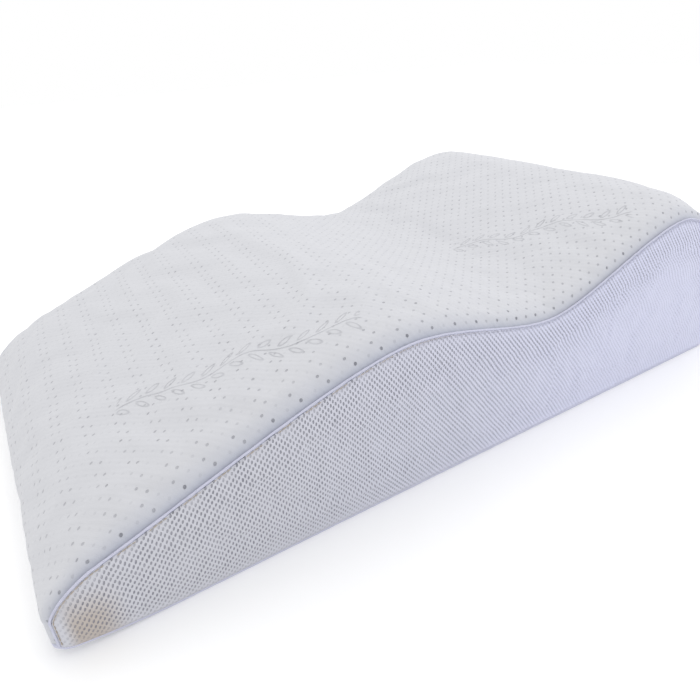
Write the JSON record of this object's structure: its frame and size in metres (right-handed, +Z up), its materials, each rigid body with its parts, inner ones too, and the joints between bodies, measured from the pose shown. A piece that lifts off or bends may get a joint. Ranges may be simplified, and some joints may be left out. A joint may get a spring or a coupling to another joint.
{
  "type": "contour bed pillow",
  "caption": "Long wedge-shaped contour pillow with two soft crests and a dip between them: moulded foam in a zipped cover with a knitted top and mesh sides.",
  "frame": {"origin": "on the floor, under the middle of the pillow's box", "axes": "+X from the thin end to the tall end, -Y towards the front mesh side, +Y towards the rear side with the zip, +Z up"},
  "size_m": [0.632, 0.3546, 0.1685],
  "materials": {
    "foam": "open-cell viscoelastic foam, matt cream",
    "liner_jersey": "thin white single jersey",
    "top_knit": "white double-knit jersey with rows of small pinholes",
    "base_cloth": "plain white knitted base cloth",
    "side_mesh": "pale blue-white spacer mesh with small staggered holes",
    "binding": "pale lavender-white corded edging",
    "thread": "light tan polyester thread",
    "zip_tape": "white woven zip tape",
    "zip_coil": "white nylon coil and stops",
    "zip_metal": "satin nickel-plated zinc",
    "label_cloth": "blank white satin label"
  },
  "bodies": {
    "pillow": {"foam_core": "foam", "liner_sleeve": "liner_jersey", "liner_front_side": "liner_jersey", "liner_rear_side": "liner_jersey", "cover_top_panel": "top_knit", "cover_bottom_panel": "base_cloth", "front_mesh_side": "side_mesh", "rear_mesh_side": "side_mesh", "front_welt": "binding", "rear_welt": "binding", "bottom_binding": "binding", "front_seam_stitching": "thread", "rear_seam_stitching": "thread", "zip_stitching": "thread", "zip_tape_upper": "zip_tape", "zip_tape_lower": "zip_tape", "zip_row_upper": "zip_coil", "zip_row_lower": "zip_coil", "zip_top_stop_upper": "zip_coil", "zip_top_stop_lower": "zip_coil", "zip_bottom_stop": "zip_coil", "care_label": "label_cloth"},
    "slider": {"zip_slider": "zip_metal"},
    "pull_tab": {"zip_pull_tab": "zip_metal"}
  },
  "joints": [
    {"name": "zip_slide", "type": "slide", "parent": "pillow", "child": "slider", "axis": [-1, 0, 0], "range_m": [0, 0.4244]},
    {"name": "pull_tab_swing", "type": "hinge", "parent": "slider", "child": "pull_tab", "pos_m": [0.2122, 0.17555, 0.018], "axis": [0, 0, -1], "range_deg": [0, 170]}
  ]
}
